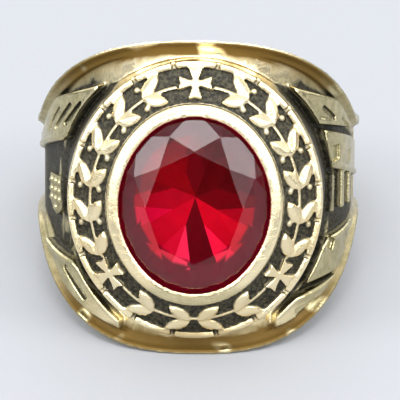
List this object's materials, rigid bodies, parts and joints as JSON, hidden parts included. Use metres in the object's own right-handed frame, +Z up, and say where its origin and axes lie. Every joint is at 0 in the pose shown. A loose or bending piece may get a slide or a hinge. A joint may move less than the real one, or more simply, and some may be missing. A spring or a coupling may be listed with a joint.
{
  "type": "class ring",
  "caption": "Heavy gold class ring with flared shoulders, an oval head with a wreath border and notched rim, and an oval faceted red stone in a smooth bezel.",
  "frame": {"origin": "centre of the footprint's box on the table the ring lies on", "axes": "+Z up from the table, +X across the ring's width, +Y from the stone towards the back of the shank; the finger hole leans back from +Z"},
  "size_m": [0.0242, 0.0296, 0.0223],
  "materials": {
    "gold": "polished 10 karat yellow gold with dark antiquing in the recesses",
    "ruby_red": "polished and faceted"
  },
  "bodies": {
    "root": {"ring_body": "gold", "stone": "ruby_red"}
  },
  "joints": []
}
